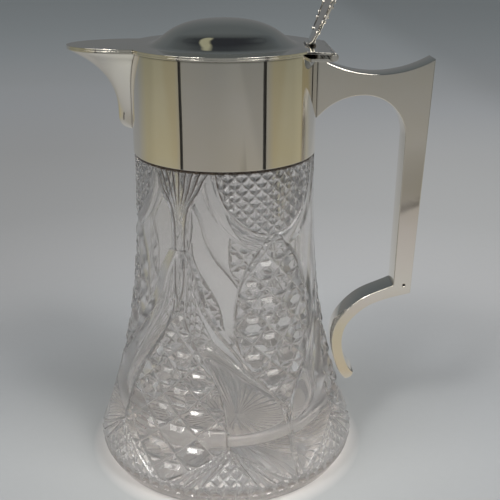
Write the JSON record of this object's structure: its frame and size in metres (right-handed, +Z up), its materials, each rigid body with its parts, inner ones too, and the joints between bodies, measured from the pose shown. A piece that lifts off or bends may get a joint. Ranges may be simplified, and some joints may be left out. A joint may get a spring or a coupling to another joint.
{
  "type": "claret_jug",
  "caption": "Tall flared cut-glass serving jug with a polished silver collar, beak spout, box handle and hinged domed lid with a thumbpiece.",
  "frame": {"origin": "centre of the glass foot's rest face, on the jug's upright axis", "axes": "+Z up along the jug's axis, +X towards the handle and the hinge, the spout at -X, +Y by the right-hand rule"},
  "size_m": [0.1637, 0.1298, 0.229],
  "materials": {
    "glass": "gloss",
    "silver": "polished",
    "plaster": "matte"
  },
  "bodies": {
    "jug_body": {"glass_body": "glass", "neck_cement": "plaster", "collar": "silver", "mouth_ring": "silver", "spout": "silver", "handle_cheek_left": "silver", "handle_cheek_right": "silver", "handle_outer_strip": "silver", "handle_inner_strip": "silver", "hinge_leaf": "silver", "hinge_fixed_knuckles": "silver", "hinge_pin": "silver"},
    "lid_body": {"lid": "silver", "lid_rim_wire": "silver", "lid_bezel": "silver", "thumbpiece": "silver", "hinge_lid_knuckles": "silver"}
  },
  "joints": [
    {"name": "lid_hinge", "type": "hinge", "parent": "jug_body", "child": "lid_body", "pos_m": [0.0468, 0, 0.1993], "axis": [0, 1, 0], "range_deg": [0, 95]}
  ]
}
